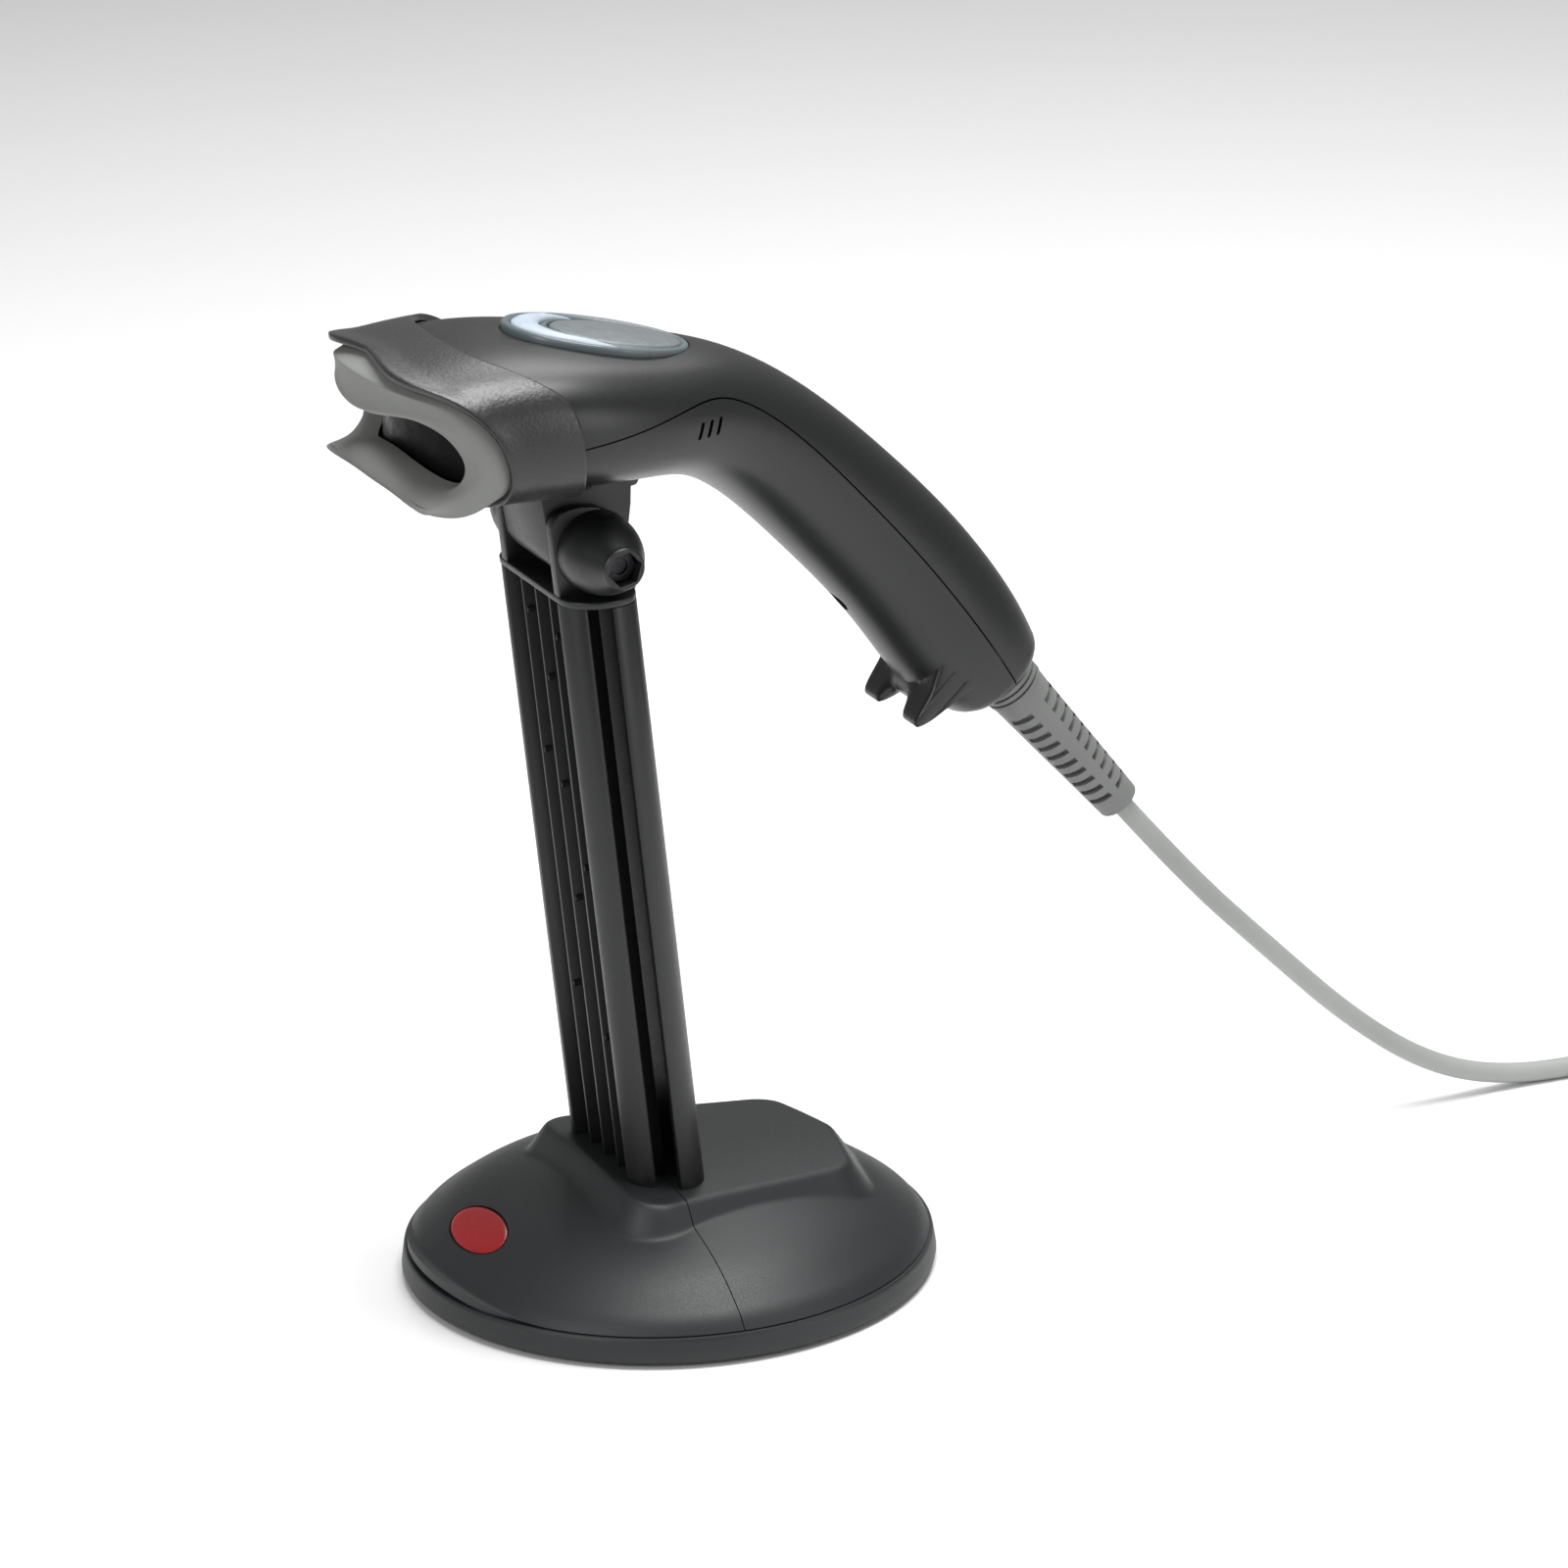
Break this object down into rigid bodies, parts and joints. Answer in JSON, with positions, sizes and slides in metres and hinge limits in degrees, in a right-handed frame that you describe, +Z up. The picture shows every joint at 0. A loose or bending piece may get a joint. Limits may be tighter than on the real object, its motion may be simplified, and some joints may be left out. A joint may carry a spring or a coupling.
{
  "type": "barcode scanner on stand",
  "caption": "Gun-shaped handheld barcode scanner with a top button and cord, resting in a tilting holder on a leaning post with a round weighted base.",
  "frame": {"origin": "centre of the stand's underside, on the table", "axes": "+Z up, the window faces -Y, +X is the side of the nut on the tilt axis"},
  "size_m": [0.125, 0.4795, 0.2318],
  "materials": {
    "base_plastic": "fine moulded texture, satin",
    "post_plastic": "smooth satin",
    "holder_plastic": "coarse spark texture with a slight gloss",
    "shell_plastic": "smooth satin",
    "bumper_rubber": "matte soft rubber",
    "window_dark": "polished dark filter",
    "ring_clear": "translucent, polished",
    "light_guide": "pale translucent",
    "button_clear": "smoky translucent dome",
    "badge_red": "red printed disc under clear resin",
    "pad_rubber": "matte",
    "steel": "zinc plated",
    "circuit_board": "solder mask",
    "chassis_plastic": "matte",
    "brass": "machined",
    "motor_metal": "turned",
    "mirror_glass": "front silvered",
    "connector_white": "moulded nylon",
    "relief_grey": "soft moulded, satin",
    "cord_grey": "smooth PVC",
    "plug_grey": "moulded PVC",
    "plug_metal": "nickel plated",
    "tie_black": "nylon"
  },
  "bodies": {
    "stand": {"base_plate": "base_plastic", "grip_pad": "pad_rubber", "ballast_weight": "steel", "base_cover_front": "base_plastic", "base_cover_rear": "base_plastic", "badge": "badge_red", "base_screws": "steel", "post_front": "post_plastic", "post_rear": "post_plastic", "post_cap": "post_plastic", "pivot_dome_left": "post_plastic", "pivot_dome_right": "post_plastic", "pivot_bolt": "steel", "pivot_nut": "steel", "cord": "cord_grey", "cord_coil": "cord_grey", "cord_tail": "cord_grey", "plug_relief": "plug_grey", "plug_body": "plug_grey", "plug_shell": "plug_metal", "plug_tongue": "connector_white", "coil_tie": "tie_black"},
    "holder": {"holder_cup": "holder_plastic"},
    "scanner": {"upper_shell": "shell_plastic", "lower_shell": "shell_plastic", "shell_screw": "steel", "nose_bumper": "bumper_rubber", "window_pane": "window_dark", "button_ring": "ring_clear", "light_crescent": "light_guide", "main_board": "circuit_board", "engine_chassis": "chassis_plastic", "laser_module": "brass", "mirror_motor": "motor_metal", "collector_mirror": "mirror_glass", "photo_board": "circuit_board", "trigger_switch": "chassis_plastic", "buzzer": "chassis_plastic", "indicator_leds": "light_guide", "cable_connector": "connector_white", "strain_relief": "relief_grey"},
    "trigger": {"trigger_button": "button_clear"},
    "mirror": {"scan_mirror": "mirror_glass"}
  },
  "joints": [
    {"name": "holder_tilt", "type": "hinge", "parent": "stand", "child": "holder", "pos_m": [0, -0.0194, 0.1817], "axis": [1, 0, 0], "range_deg": [-23, 38]},
    {"name": "scanner_tilt", "type": "hinge", "parent": "stand", "child": "scanner", "pos_m": [0, -0.0194, 0.1817], "axis": [1, 0, 0], "range_deg": [-23, 38], "deforming": ["cord"]},
    {"name": "trigger_press", "type": "slide", "parent": "scanner", "child": "trigger", "axis": [0, -0.2181, -0.9759], "range_m": [0, 0.0008], "stiffness_N_per_m": 800, "springref_m": -0.0006},
    {"name": "mirror_scan", "type": "hinge", "parent": "scanner", "child": "mirror", "pos_m": [0.002, -0.033, 0.2082], "axis": [0, 0, 1], "range_deg": [-12, 12], "stiffness_Nm_per_rad": 0.001}
  ],
  "couplings": [
    {"joint": "scanner_tilt", "follows": "holder_tilt", "ratio": 1}
  ]
}
